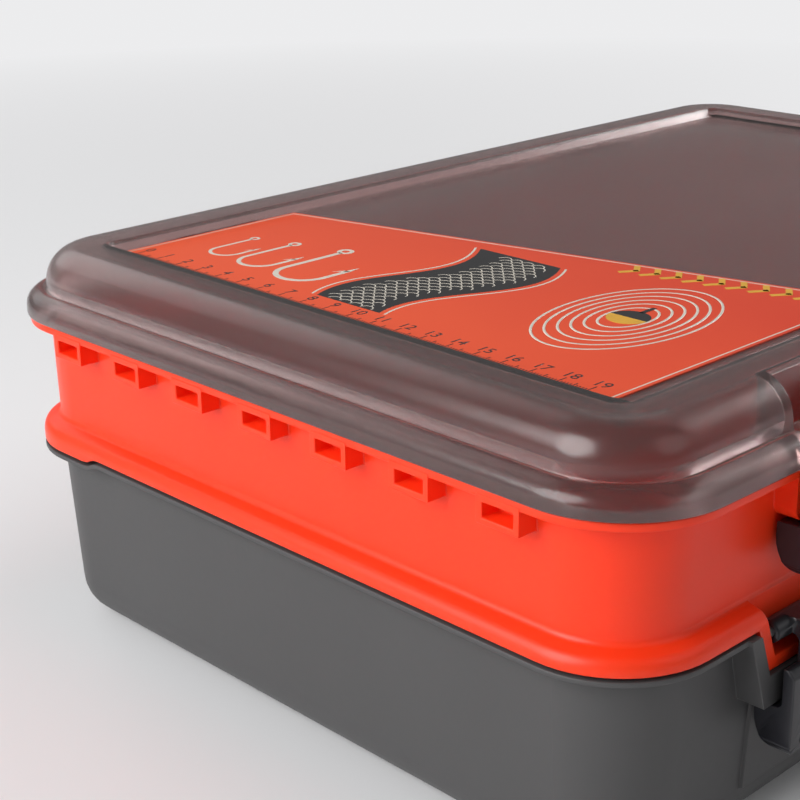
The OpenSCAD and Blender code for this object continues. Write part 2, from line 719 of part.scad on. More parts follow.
// a lever with a J-shaped hook, drawn as [y, z] from its pivot, which has the inset given; widths
// are those of its lever, neck and eye, and drops are down to its lever's top, its hook and its end
module latch(widths, drops, inset) {
    lever_width = widths[0];
    eye_width = widths[2];
    lever_top = drops[0];
    hook_drop = drops[1];
    lever_drop = drops[2];
    lever_front = inset + lever_proud;
    lever_back = lever_front - lever_wall;
    nose = lever_wall + 0.2;
    neck_z = -eye_radius;
    root_z = -lever_top - lever_chamfer - lap;
    hook = concat(
        [[-lever_back, -lever_top], [lever_chamfer - lever_front, -lever_top],
         [-lever_front, -lever_top - lever_chamfer],
         [-lever_front, foot_chamfer - lever_drop], [foot_chamfer - lever_front, -lever_drop]],
        arc(hook_reach - hook_curve, hook_rise - lever_drop, hook_curve, hook_rise, -90, 0),
        [[hook_reach, -hook_drop - hook_chamfer], [hook_reach - hook_chamfer, -hook_drop],
         [hook_chamfer - lever_back, -hook_drop], [-lever_back, hook_chamfer - hook_drop]]);
    neck = concat([[0, eye_radius]], arc(nose - lever_front, eye_radius - nose, nose, nose, 90, 180, 5),
        [[-lever_front, root_z], [-lever_back, root_z], [-lever_back, neck_z + 1],
         [hook_chamfer - lever_back, neck_z + 1 + hook_chamfer], [0, neck_z + 1 + hook_chamfer]]);
    difference() {
        union() {
            intersection() {
                bar_x(-lever_width / 2, lever_width / 2) polygon(hook);
                bar_y(-lever_front - 1, hook_reach + 1)
                    rounded_foot(lever_width / 2, -lever_drop, eye_radius, corner_round);
            }
            bar_x(-widths[1] / 2, widths[1] / 2) polygon(neck);
            rod(-eye_width / 2, eye_width / 2, 0, 0, eye_radius);
        }
        rod(-eye_width / 2 - 1, eye_width / 2 + 1, 0, 0, latch_pin_r + running);
        finger_recess(lever_width, lever_front, lever_top + recess_top, lever_drop);
    }
}

// shallow recess in the face of a lever, with grip bars left standing
module finger_recess(lever_width, lever_front, top_drop, lever_drop) {
    x = lever_width / 2 - recess_side;
    foot_z = recess_foot - lever_drop;
    bar_z = foot_z + grip_pitch - grip_width / 2;
    difference() {
        block([-x, -lever_front - 1, foot_z], [x, recess_depth - lever_front, -top_drop]);
        for (i = [0:grip_bars - 1])
            block([-x - 1, -lever_front - 2, bar_z + i * grip_pitch],
                  [x + 1, 0, bar_z + i * grip_pitch + grip_width]);
    }
}

module upper_latch(s) {
    color([0.1, 0.1, 0.12]) translate([s * latch_x, upper_pivot_y, upper_pivot_z])
        latch([upper_lever, upper_eye_width, upper_eye_width],
            [upper_top, upper_hook_drop, upper_drop], upper_pivot_inset);
}

module lower_latch(s) {
    color([0.1, 0.1, 0.12]) translate([s * latch_x, lower_pivot_y, lower_pivot_z])
        latch([lower_lever, lower_neck_width, lower_eye_width],
            [lower_top, lower_hook_drop, lower_drop], lower_pivot_inset);
}

module upper_latch_pin(s) {
    color("silver") translate([s * latch_x, 0, 0])
        rod(-notch_half - pin_grip, notch_half + pin_grip, upper_pivot_y, upper_pivot_z, latch_pin_r);
}

module lower_latch_pin(s) {
    color("silver") translate([s * latch_x, 0, 0])
        rod(-pin_half, pin_half, lower_pivot_y, lower_pivot_z, latch_pin_r);
}

module hinge_pin(s, z) {
    color("silver") translate([s * hinge_x, 0, 0]) rod(-knuckle_half, knuckle_half, hinge_y, z, hinge_pin_r);
}

// ---- handle ----

module carry_handle() {
    low_z = handle_z - handle_drop;
    color([0.1, 0.1, 0.12]) difference() {
        union() {
            rod(handle_bend - arm_x, arm_x - handle_bend, handle_y, low_z, handle_r);
            for (k = [0, 1]) mirror([k, 0, 0]) {
                translate([arm_x, handle_y, low_z + handle_bend])
                    cylinder(h = handle_drop - handle_bend, r = handle_r);
                translate([arm_x - handle_bend, handle_y, low_z + handle_bend]) rotate([90, 0, 0])
                    rotate([0, 0, -90]) rotate_extrude(angle = 90)
                        translate([handle_bend, 0]) circle(handle_r);
                rod(arm_x - handle_eye / 2, arm_x + handle_eye / 2, handle_y, handle_z, handle_eye_r);
            }
        }
        for (s = [-1, 1]) rod(s * arm_x - handle_eye, s * arm_x + handle_eye, handle_y, handle_z,
            handle_pin_r + running);
    }
}

module handle_pin(s) {
    half = ear_x + handle_ear;
    color("silver") rod(s * arm_x - half, s * arm_x + half, handle_y, handle_z, handle_pin_r);
}

// ---- dividers ----

module tray_divider(i) {
    z0 = seat_z + tray_floor + gap;
    z1 = tray_top - tray_divider_drop;
    low = half_l - tray_in(z0) - wall - divider_gap;
    high = half_l - tray_in(z1) - wall - divider_gap;
    color("orange") translate([0, socket_y(i - 1), 0]) bar_y(-divider_wall / 2, divider_wall / 2)
        difference() {
            polygon([[-low, z0], [low, z0], [high, z1], [-high, z1]]);
            for (k = [0:divider_notches - 1])
                translate([(k - (divider_notches - 1) / 2) * notch_pitch, z1]) circle(notch_radius);
        }
}

// outline of a divider that reaches from one wall of the lower box to the other
function divider_side(half) = let (foot_z = wall + gap)
    [for (z = [for (i = [0:3]) foot_z + (base_fillet - foot_z) * i / 3, lower_divider_height])
        [half - lower_inner(z) - divider_gap, z]];

module lower_divider_long() {
    side = divider_side(half_l);
    color("gray") translate([0, lower_divider_y, 0]) {
        bar_y(-divider_wall / 2, divider_wall / 2)
            polygon(concat(side, [for (i = [len(side) - 1:-1:0]) [-side[i][0], side[i][1]]]));
        // ribs that hold the front ends of the short dividers
        for (i = [-1:1], k = [-1, 1])
            translate([i * back_compartment_length + k * rib_place, 0, 0])
                block([-slot_rib_wall / 2, 0, base_fillet],
                      [slot_rib_wall / 2, divider_wall / 2 + slot_rib, lower_divider_height]);
    }
}

module lower_divider_cross(i) {
    start = lower_divider_y + divider_wall / 2 + divider_gap;
    color("gray") translate([(i - 2) * back_compartment_length, 0, 0])
        bar_x(-divider_wall / 2, divider_wall / 2)
            polygon(concat([[start, wall + gap]], divider_side(half_d), [[start, lower_divider_height]]));
}

lower_box_shell();
tray_shell();
lid_shell();
lid_label();
upper_latch(-1);  // upper_latch_left
upper_latch(1);  // upper_latch_right
lower_latch(-1);  // lower_latch_left
lower_latch(1);  // lower_latch_right
upper_latch_pin(-1);  // upper_latch_pin_left
upper_latch_pin(1);  // upper_latch_pin_right
lower_latch_pin(-1);  // lower_latch_pin_left
lower_latch_pin(1);  // lower_latch_pin_right
hinge_pin(-1, lid_hinge_z);  // lid_hinge_pin_left
hinge_pin(1, lid_hinge_z);  // lid_hinge_pin_right
hinge_pin(-1, tray_hinge_z);  // tray_hinge_pin_left
hinge_pin(1, tray_hinge_z);  // tray_hinge_pin_right
carry_handle();
handle_pin(-1);  // handle_pin_left
handle_pin(1);  // handle_pin_right
tray_divider(1);  // tray_divider_1
tray_divider(2);  // tray_divider_2
tray_divider(3);  // tray_divider_3
tray_divider(4);  // tray_divider_4
tray_divider(5);  // tray_divider_5
tray_divider(6);  // tray_divider_6
tray_divider(7);  // tray_divider_7
lower_divider_long();
lower_divider_cross(1);  // lower_divider_cross_1
lower_divider_cross(2);  // lower_divider_cross_2
lower_divider_cross(3);  // lower_divider_cross_3
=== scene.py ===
"""A two-tier fishing tackle box: dark lower box, orange lift-up tray, smoky lid, and a printed label."""

import json
import math

import bmesh
import bpy
from mathutils import Matrix, Vector


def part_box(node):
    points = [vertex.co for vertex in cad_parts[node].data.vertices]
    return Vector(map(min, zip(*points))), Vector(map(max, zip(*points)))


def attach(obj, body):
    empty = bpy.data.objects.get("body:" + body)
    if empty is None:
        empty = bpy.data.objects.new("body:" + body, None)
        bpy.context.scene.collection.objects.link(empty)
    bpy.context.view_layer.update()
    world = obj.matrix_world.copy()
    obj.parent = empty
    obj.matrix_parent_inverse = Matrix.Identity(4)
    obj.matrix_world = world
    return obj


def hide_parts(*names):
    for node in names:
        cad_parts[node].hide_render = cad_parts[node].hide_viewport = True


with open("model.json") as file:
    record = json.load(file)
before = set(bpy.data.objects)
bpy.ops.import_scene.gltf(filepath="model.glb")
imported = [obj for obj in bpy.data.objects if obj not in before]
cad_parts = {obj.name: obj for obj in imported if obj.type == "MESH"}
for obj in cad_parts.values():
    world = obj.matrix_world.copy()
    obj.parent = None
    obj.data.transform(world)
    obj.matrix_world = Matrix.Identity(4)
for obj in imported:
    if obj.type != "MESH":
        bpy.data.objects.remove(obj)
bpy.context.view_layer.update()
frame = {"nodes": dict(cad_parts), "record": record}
nodes = frame["nodes"]
body_of_node = {n: body for body, names in frame["record"]["behaviour"]["bodies"].items() for n in names}
slot_of_node = {part["node"]: part["material_slot"] for part in frame["record"]["subparts"]}
MM = 0.001


def shown(name, data):
    """A new object in the scene, at the origin."""
    thing = bpy.data.objects.new(name, data)
    bpy.context.scene.collection.objects.link(thing)
    return thing


def finished_mesh(thing):
    """A plain mesh of the object with its modifiers applied."""
    return bpy.data.meshes.new_from_object(thing.evaluated_get(bpy.context.evaluated_depsgraph_get()))


# ---- camera ----

def place_camera():
    """The photograph's view: a long lens, a little over half a metre from the box's near corner."""
    place = Vector((-0.46561, -0.34386, 0.26759))
    yaw, pitch, roll = math.radians(43.83), math.radians(19.98), math.radians(-0.77)
    sensor, focal_pixels, photo_width = 36.0, 1692.19, 800
    ahead = Vector((math.sin(yaw) * math.cos(pitch), math.cos(yaw) * math.cos(pitch), -math.sin(pitch)))
    right = ahead.cross(Vector((0, 0, 1))).normalized()
    up = right.cross(ahead)
    right, up = (math.cos(roll) * right + math.sin(roll) * up,
                 math.cos(roll) * up - math.sin(roll) * right)
    data = bpy.data.cameras.new("camera")
    data.sensor_width = sensor
    data.lens = focal_pixels / photo_width * sensor
    data.clip_start = 0.02
    camera = shown("camera", data)
    camera.matrix_world = Matrix.Translation(place) @ Matrix((right, up, -ahead)).transposed().to_4x4()
    bpy.context.scene.camera = camera


# ---- node trees ----

class Wire:
    """A socket that Python's operators work on; each one adds a Math node."""

    def __init__(self, tree, socket):
        self.tree, self.socket = tree, socket

    def maths(self, operation, *values, clamp=False):
        settings = {"operation": operation, "use_clamp": clamp}
        return self.tree.node("ShaderNodeMath", settings, dict(enumerate(values)))

    def __add__(self, other):
        return self.maths("ADD", self, other)

    def __radd__(self, other):
        return self.maths("ADD", other, self)

    def __sub__(self, other):
        return self.maths("SUBTRACT", self, other)

    def __rsub__(self, other):
        return self.maths("SUBTRACT", other, self)

    def __mul__(self, other):
        return self.maths("MULTIPLY", self, other)

    def __rmul__(self, other):
        return self.maths("MULTIPLY", other, self)

    def __truediv__(self, other):
        return self.maths("DIVIDE", self, other)

    def __abs__(self):
        return self.maths("ABSOLUTE", self)

    def every(self, count):
        """1 on each whole number that count divides, 0 on the others."""
        return 1 - self.maths("MODULO", self, count).held()

    def below(self, edge):
        """1 where the value is under the edge, 0 elsewhere."""
        return self.maths("LESS_THAN", self, edge)

    def wave(self):
        """The sine of the value, in radians."""
        return self.maths("SINE", self)

    def root(self):
        """The square root of the value."""
        return self.maths("SQRT", self)

    def down(self):
        """The nearest whole number that is not above the value."""
        return self.maths("FLOOR", self)

    def held(self):
        """The value kept between 0 and 1."""
        return self.maths("ADD", self, 0, clamp=True)


class Tree:
    """What shader trees and Geometry Nodes trees have in common."""

    def __init__(self, tree):
        self.tree = tree
        self.tree.nodes.clear()

    def node(self, kind, settings=None, inputs=None, out=0):
        """Adds a node: its settings first, then its sockets' values or links. Returns an output."""
        made = self.tree.nodes.new(kind)
        for name, value in (settings or {}).items():
            setattr(made, name, value)
        for name, value in (inputs or {}).items():
            self.feed(made.inputs[name], value)
        return Wire(self, made.outputs[out])

    def feed(self, socket, value):
        if isinstance(value, Wire):
            self.tree.links.new(value.socket, socket)
        else:
            socket.default_value = value


class Paint(Tree):
    """One material's node tree, with its Principled shader."""

    def __init__(self, name, **constants):
        self.material = bpy.data.materials.new(name)
        self.material.use_nodes = True
        super().__init__(self.material.node_tree)
        self.end = self.tree.nodes.new("ShaderNodeOutputMaterial")
        self.shader = self.tree.nodes.new("ShaderNodeBsdfPrincipled")
        self.tree.links.new(self.shader.outputs[0], self.end.inputs["Surface"])
        self.set(**constants)

    def set(self, **values):
        """Links or sets sockets of the shader itself."""
        for name, value in values.items():
            self.feed(self.shader.inputs[name.replace("_", " ")], value)

    def place(self):
        """Object coordinates, which are the row frame's metres."""
        return self.node("ShaderNodeTexCoord", out="Object")

    def stretched(self, scale):
        """Object coordinates with a scale of their own along each axis."""
        return self.node("ShaderNodeMapping", inputs={"Vector": self.place(), "Scale": scale})

    def axis(self, letter, vector=None):
        return self.node("ShaderNodeSeparateXYZ", inputs={"Vector": vector or self.place()}, out=letter)

    def noise(self, scale, detail=3.0, roughness=0.5, vector=None):
        """Noise from about 0.25 to 0.75; scale is in features a metre."""
        return self.node("ShaderNodeTexNoise", inputs={
            "Vector": vector or self.place(), "Scale": scale, "Detail": detail, "Roughness": roughness},
            out="Fac")

    def mixed(self, share, one, other):
        """A colour between two colours. Inputs 6 and 7 and output 2 are the Mix node's colours."""
        return self.node("ShaderNodeMix", {"data_type": "RGBA"}, {0: share, 6: one, 7: other}, out=2)

    def bump(self, height, depth, strength=1.0, under=None):
        inputs = {"Height": height, "Distance": depth, "Strength": strength}
        if under is not None:
            inputs["Normal"] = under
        return self.node("ShaderNodeBump", inputs=inputs)


class Plan(Tree):
    """One Geometry Nodes tree, with named sizes that its modifier sets."""

    KINDS = {int: "NodeSocketInt", float: "NodeSocketFloat", tuple: "NodeSocketVector"}

    def __init__(self, name, **sizes):
        self.name, self.sizes = name, sizes
        super().__init__(bpy.data.node_groups.new(name, "GeometryNodeTree"))
        face = self.tree.interface
        face.new_socket("Geometry", in_out="OUTPUT", socket_type="NodeSocketGeometry")
        self.keys = {}
        for size, value in sizes.items():
            kind = self.KINDS[type(value)]
            self.keys[size] = face.new_socket(size, in_out="INPUT", socket_type=kind).identifier
        self.start = self.tree.nodes.new("NodeGroupInput")

    def size(self, name):
        return Wire(self, self.start.outputs[name])

    def vector(self, x=0.0, y=0.0, z=0.0):
        return self.node("ShaderNodeCombineXYZ", inputs={"X": x, "Y": y, "Z": z})

    def moved(self, geometry, **transform):
        return self.node("GeometryNodeTransform", inputs={
            "Geometry": geometry, **{name.capitalize(): value for name, value in transform.items()}})

    def set_on(self, points, piece, **inputs):
        """One copy of a piece on each point."""
        return self.node("GeometryNodeInstanceOnPoints",
                         inputs={"Points": points, "Instance": piece, **inputs})

    def circle(self, sides, radius):
        return self.node("GeometryNodeCurvePrimitiveCircle", inputs={"Resolution": sides, "Radius": radius})

    def square(self, side):
        return self.node("GeometryNodeCurvePrimitiveQuadrilateral", inputs={"Width": side, "Height": side})

    def swept(self, path, profile, **inputs):
        """A profile drawn along a path."""
        return self.node("GeometryNodeCurveToMesh",
                         inputs={"Curve": path, "Profile Curve": profile, **inputs})

    def whole(self, instances):
        return self.node("GeometryNodeRealizeInstances", inputs={"Geometry": instances})

    def built(self, geometry, material, body, slot):
        """Runs the tree once and keeps the result as a plain mesh that rides on a body."""
        end = self.tree.nodes.new("NodeGroupOutput")
        finished = self.node("GeometryNodeSetMaterial",
                             inputs={"Geometry": self.whole(geometry), "Material": material})
        self.feed(end.inputs[0], finished)
        piece = shown(self.name, bpy.data.meshes.new(self.name))
        modifier = piece.modifiers.new("plan", "NODES")
        modifier.node_group = self.tree
        for size, key in self.keys.items():
            modifier[key] = self.sizes[size]
        mesh = finished_mesh(piece)
        piece.modifiers.clear()
        piece.data = mesh
        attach(piece, body)
        return piece


def shade(colour, factor):
    """The colour made darker or lighter."""
    return tuple(min(1.0, c * factor) for c in colour[:3]) + (1.0,)


# ---- finishes ----

def moulded_grain(paint, depth, under=None):
    """The fine spark-eroded grain of a steel mould, over a very slight sink and flow of the wall."""
    flow = paint.noise(26, 2, 0.5, paint.stretched((1, 1, 0.5)))
    slow = paint.bump(flow, 0.6 * MM, 0.35, under)
    grain = paint.noise(2600, 2, 0.6)
    return paint.bump(grain, depth, 0.6, slow)


def moulding(name, dull, bright, scale, rough, uneven, grain, **constants):
    """A moulded plastic whose colour and gloss drift a little from place to place."""
    paint = Paint(name, **constants)
    drift = paint.noise(scale, 3, 0.5)
    paint.set(Base_Color=paint.mixed(drift, dull, bright),
              Roughness=rough + uneven * drift,
              Normal=moulded_grain(paint, grain))
    return paint.material


def lower_plastic():
    """Charcoal polypropylene with a satin grain, and faint lines where the mould's corner blocks meet."""
    paint = Paint("lower_plastic", IOR=1.48, Specular_IOR_Level=0.38)
    colour = (0.069, 0.068, 0.069, 1)
    drift = paint.noise(9, 3, 0.55)
    specks = paint.noise(420, 2, 0.5)
    corner_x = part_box("lower_box_shell")[1].x - 32 * MM
    corner_y = 103 * MM
    half_line = 0.12 * MM
    witness = (abs(abs(paint.axis("Y")) - corner_y).below(half_line)
               + abs(abs(paint.axis("X")) - corner_x).below(half_line))
    paint.set(Base_Color=paint.mixed(drift, shade(colour, 0.86), shade(colour, 1.14)),
              Roughness=0.40 + 0.10 * drift + 0.06 * specks,
              Normal=moulded_grain(paint, 0.03 * MM, paint.bump(witness.held(), 0.06 * MM, 0.5)))
    return paint.material


def tray_plastic():
    """Orange polypropylene, glossier, which glows a little where light comes through its thin walls."""
    colour = (0.94, 0.044, 0.008, 1)
    return moulding("tray_plastic", shade(colour, 0.93), shade(colour, 1.07), 8, 0.32, 0.10, 0.012 * MM,
                    IOR=1.49, Specular_IOR_Level=0.35, Subsurface_Weight=0.3,
                    Subsurface_Scale=0.004, Subsurface_Radius=(1.0, 0.15, 0.04))


def lid_plastic():
    """Smoky, frosted, see-through plastic."""
    colour = (0.68, 0.54, 0.53, 1)
    return moulding("lid_plastic", shade(colour, 0.92), shade(colour, 1.08), 10, 0.15, 0.12, 0.01 * MM,
                    IOR=1.46, Transmission_Weight=0.96)


def latch_plastic():
    """Black acetal, satin."""
    return moulding("latch_plastic", (0.012, 0.012, 0.015, 1), (0.019, 0.019, 0.024, 1),
                    60, 0.28, 0.12, 0.015 * MM, IOR=1.5)


def handle_plastic():
    """The handle's black plastic, with a coarser grain for the hand."""
    return moulding("handle_plastic", (0.012, 0.012, 0.014, 1), (0.020, 0.020, 0.022, 1),
                    50, 0.38, 0.12, 0.04 * MM, IOR=1.5)


def divider_orange():
    """The tray dividers' thinner orange plastic."""
    return moulding("tray_divider", (0.86, 0.050, 0.010, 1), (0.92, 0.066, 0.015, 1),
                    14, 0.30, 0.12, 0.01 * MM, IOR=1.49, Subsurface_Weight=0.25,
                    Subsurface_Scale=0.003, Subsurface_Radius=(1.0, 0.3, 0.1))


def divider_grey():
    """The lower dividers' grey plastic."""
    return moulding("lower_divider", (0.085, 0.084, 0.083, 1), (0.115, 0.113, 0.11, 1),
                    14, 0.38, 0.12, 0.02 * MM, IOR=1.48)


def drawn_steel():
    """Bright wire, with the fine lines that drawing leaves along it."""
    paint = Paint("steel", Metallic=1.0)
    lines = paint.noise(900, 2, 0.6, paint.stretched((0.02, 1, 1)))
    paint.set(Base_Color=paint.mixed(lines, (0.52, 0.52, 0.53, 1), (0.70, 0.70, 0.70, 1)),
              Roughness=0.22 + 0.2 * lines,
              Normal=paint.bump(lines, 0.02 * MM, 0.4))
    return paint.material


def label_film():
    """The label's printed ground: orange, deeper towards the right and the front."""
    paint = Paint("label", IOR=1.46, Specular_IOR_Level=0.3)
    low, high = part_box("lid_label")
    across = (paint.axis("X") - low.x) / (high.x - low.x)
    along = (paint.axis("Y") - low.y) / (high.y - low.y)
    deep = (0.75 * across + 0.45 * (1 - along)).held()
    cloud = paint.noise(30, 4, 0.6)
    ground = paint.mixed(deep, (0.94, 0.11, 0.034, 1), (0.70, 0.040, 0.012, 1))
    paint.set(Base_Color=paint.mixed(0.25 * cloud, ground, (0.95, 0.16, 0.05, 1)),
              Roughness=0.26 + 0.08 * cloud,
              Normal=paint.bump(paint.noise(700, 2), 0.006 * MM, 0.5))
    return paint.material


def printed_ink(name, colour):
    """A printed ink, very slightly uneven, with the film's gloss."""
    paint = Paint(name, IOR=1.46)
    cloud = paint.noise(240, 3, 0.6)
    paint.set(Base_Color=paint.mixed(cloud, shade(colour, 0.86), shade(colour, 1.1)),
              Roughness=0.28 + 0.1 * cloud,
              Normal=paint.bump(paint.noise(700, 2), 0.004 * MM, 0.5))
    return paint.material


FINISHES = {"lower_plastic": lower_plastic, "tray_plastic": tray_plastic, "lid_plastic": lid_plastic,
            "label": label_film, "latch_plastic": latch_plastic, "handle_plastic": handle_plastic,
            "tray_divider": divider_orange, "lower_divider": divider_grey, "steel": drawn_steel}
finish = {slot: make() for slot, make in FINISHES.items()}
charcoal = printed_ink("charcoal_ink", (0.020, 0.019, 0.020, 1))
cream = printed_ink("cream_ink", (0.76, 0.70, 0.60, 1))
amber = printed_ink("amber_ink", (0.78, 0.42, 0.04, 1))


# ---- rounded copies of the shells, the latches and the handle ----

ROUNDING = {"lower_box_shell": 0.4 * MM, "tray_shell": 0.4 * MM, "lid_shell": 0.5 * MM,
            "upper_latch_left": 0.5 * MM, "upper_latch_right": 0.5 * MM,
            "lower_latch_left": 0.5 * MM, "lower_latch_right": 0.5 * MM, "carry_handle": 0.3 * MM}
MERGE = 0.002 * MM
FLAT, SHARP, SMOOTH = math.radians(0.3), math.radians(32), math.radians(38)
TIGHT_CURVE = 1.2 * MM          # shorter edges belong to the small pieces' eyes and hooks
ROOM_SHARE = 0.42               # the most of a neighbouring edge that a rounding may take
ALONG = 0.94                    # the cosine above which two edges count as one line


def soften_weights(shape, width, hollows):
    """Marks each sharp edge with its share of the full rounding: less where there is no room for it."""
    weight = shape.edges.layers.float.new("bevel_weight_edge")
    for edge in shape.edges:
        if len(edge.link_faces) != 2 or edge.calc_face_angle(0) < SHARP:
            continue
        if not hollows and (edge.calc_face_angle_signed(0) < 0 or edge.calc_length() < TIGHT_CURVE):
            continue
        run = (edge.verts[1].co - edge.verts[0].co).normalized()
        room = edge.calc_length()
        for corner in edge.verts:
            for other in corner.link_edges:
                way = (other.verts[1].co - other.verts[0].co).normalized()
                if other is not edge and abs(way.dot(run)) < ALONG:
                    room = min(room, other.calc_length())
        edge[weight] = min(1.0, ROOM_SHARE * room / width)


def moulded(node, width, hollows):
    """A rounded copy of a node that stands for it. The shells' hollows are rounded as well."""
    name, slot = node + "_moulded", slot_of_node[node]
    shape = bmesh.new()
    shape.from_mesh(nodes[node].data)
    bmesh.ops.remove_doubles(shape, verts=shape.verts, dist=MERGE)
    bmesh.ops.dissolve_limit(shape, angle_limit=FLAT, verts=shape.verts, edges=shape.edges)
    soften_weights(shape, width, hollows)
    bmesh.ops.triangulate(shape, faces=[face for face in shape.faces if len(face.verts) > 4])
    mesh = bpy.data.meshes.new(name)
    shape.to_mesh(mesh)
    shape.free()
    mesh.materials.append(finish[slot])
    piece = shown(name, mesh)
    bevel = piece.modifiers.new("edge", "BEVEL")
    bevel.width = width
    bevel.segments = 2
    bevel.limit_method = "WEIGHT"
    bevel.use_clamp_overlap = False
    rounded = finished_mesh(piece)
    piece.modifiers.clear()
    piece.data = rounded
    low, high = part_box(node)
    for corner in rounded.vertices:
        corner.co = [min(max(c, least), most) for c, least, most in zip(corner.co, low, high)]
    for face in rounded.polygons:
        face.use_smooth = True
    rounded.set_sharp_from_angle(angle=SMOOTH)
    weighted = piece.modifiers.new("normals", "WEIGHTED_NORMAL")
    weighted.keep_sharp = True
    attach(piece, body_of_node[node])
    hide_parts(node)
    return piece


# ---- moulding marks and grip ----

TRAY_FLOOR, LOWER_FLOOR = 71.7 * MM, 2.2 * MM
GRIP = 4.1 * MM                 # half the handle's thickness


def ejector_marks(name, slot, body, middle_y, floor, columns, rows, pitch_x, pitch_y):
    """Shallow round marks, in rows, where the mould's pins pushed the shell out."""
    plan = Plan(name, Columns=columns, Rows=rows, Length=pitch_x * (columns - 1), Depth=pitch_y * (rows - 1),
                Radius=3.2 * MM, Height=0.3 * MM, Centre=(0.0, middle_y, floor - 0.05 * MM))
    pin = plan.node("GeometryNodeMeshCylinder", inputs={
        "Vertices": 20, "Radius": plan.size("Radius"), "Depth": plan.size("Height")})
    grid = plan.node("GeometryNodeMeshGrid", inputs={
        "Size X": plan.size("Length"), "Size Y": plan.size("Depth"),
        "Vertices X": plan.size("Columns"), "Vertices Y": plan.size("Rows")})
    marks = plan.moved(plan.set_on(grid, pin), translation=plan.size("Centre"))
    return plan.built(marks, finish[slot], body, slot)


def grip_rings():
    """Ribs around the straight part of the handle's grip."""
    low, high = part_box("carry_handle")
    plan = Plan("grip_rings", Count=9, Pitch=7.5 * MM, Radius=GRIP - 0.25 * MM, Bead=0.8 * MM,
                Middle=(0.0, (low.y + high.y) / 2, low.z + GRIP))
    ring = plan.swept(plan.circle(40, plan.size("Radius")), plan.circle(10, plan.size("Bead")))
    upright = plan.moved(ring, rotation=(0, math.pi / 2, 0))
    line = plan.node("GeometryNodeMeshLine", inputs={
        "Count": plan.size("Count"), "Offset": plan.vector(x=plan.size("Pitch")),
        "Start Location": plan.vector(x=(plan.size("Count") - 1) * plan.size("Pitch") * -0.5)})
    rings = plan.moved(plan.set_on(line, upright), translation=plan.size("Middle"))
    return plan.built(rings, finish["handle_plastic"], "handle", "handle_plastic")


# ---- the label's print ----

label_low, label_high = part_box("lid_label")
FILM = label_high.z
UNDER = FILM - 0.05 * MM        # the printed shapes start just inside the film
INK = FILM + 0.03 * MM          # and end just above it
THICK_INK = FILM + 0.05 * MM
BACK_WIDTH, FRONT_WIDTH = 75 * MM, 120 * MM
WAVE_START, WAVE_END = 12.5, 84.0       # mm from the label's left edge
FLOAT_ALONG, FLOAT_ACROSS = 40, 58      # mm from its front and left edges
RULER_ALONG = 199                       # mm from its front edge, where the ruler starts


def on_label(along, across):
    """A place on the label: along from its front edge, across from its left edge, both in mm."""
    return Vector((label_low.x + across * MM, label_low.y + along * MM))


def label_width(along):
    """How wide the label is, in mm, at a distance from its front edge."""
    share = along * MM / (label_high.y - label_low.y)
    return (FRONT_WIDTH + (BACK_WIDTH - FRONT_WIDTH) * share) / MM


def lifted_film():
    """The film itself, with its underside a hair above the panel that it lies on."""
    mesh = nodes["lid_label"].data.copy()
    for corner in mesh.vertices:
        corner.co.z = max(corner.co.z, label_low.z + 0.03 * MM)
    film = shown("label_film", mesh)
    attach(film, "lid")
    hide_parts("lid_label")


def printed(name, shape, material):
    """Keeps a printed shape: faces outwards, and it rides on the lid."""
    bmesh.ops.recalc_face_normals(shape, faces=shape.faces)
    mesh = bpy.data.meshes.new(name)
    shape.to_mesh(mesh)
    shape.free()
    mesh.materials.append(material)
    piece = shown(name, mesh)
    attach(piece, "lid")
    return piece


def add_slab(shape, outline, top):
    """A flat printed area, given by its outline."""
    rims = [[shape.verts.new((p.x, p.y, z)) for p in outline] for z in (UNDER, top)]
    for rim in rims:
        shape.faces.new(rim)
    for i in range(len(outline)):
        k = (i + 1) % len(outline)
        shape.faces.new((rims[0][i], rims[0][k], rims[1][k], rims[1][i]))


def add_line(shape, points, width, top, closed=False):
    """A flat printed line of a constant width along a path."""
    count = len(points)
    sides = []
    for i, point in enumerate(points):
        before = points[i - 1] if i or closed else point
        after = points[(i + 1) % count] if i < count - 1 or closed else point
        ways = [w.normalized() for w in (point - before, after - point) if w.length > 0]
        way = sum(ways, Vector((0, 0))).normalized()
        out = Vector((-way.y, way.x)) * width / 2 / max(0.3, way.dot(ways[0]))
        sides.append([(point + k * out, z) for z in (UNDER, top) for k in (1, -1)])
    corners = [[shape.verts.new((p.x, p.y, z)) for p, z in side] for side in sides]
    for i in range(count if closed else count - 1):
        a, b = corners[i], corners[(i + 1) % count]
        for m, n in ((0, 1), (1, 3), (3, 2), (2, 0)):
            shape.faces.new((a[m], a[n], b[n], b[m]))
    if not closed:
        for end in (corners[0], corners[-1]):
            shape.faces.new((end[0], end[1], end[3], end[2]))


def swell(across, sine=math.sin):
    """Middle of the dark wave that crosses the label, in mm from its front edge."""
    return 96 + 0.16 * across + 10 * sine(across * 0.062 + 0.4)


def dark_wave():
    """A dark wave across the label, with a thin line along each side."""
    half, steps = 17.0, 40
    columns = [WAVE_START + (WAVE_END - WAVE_START) * i / steps for i in range(steps + 1)]
    upper = [on_label(swell(a) + half * (0.75 + 0.004 * a), a) for a in columns]
    lower = [on_label(swell(a) - half * (0.75 + 0.002 * a), a) for a in columns]
    shape = bmesh.new()
    add_slab(shape, upper + lower[::-1], INK)
    printed("label_dark_wave", shape, charcoal)
    shape = bmesh.new()
    for away, side in ((2.2 * MM, upper), (-2.2 * MM, lower)):
        add_line(shape, [p + Vector((0, away)) for p in side], 0.7 * MM, INK)
    printed("label_wave_lines", shape, cream)


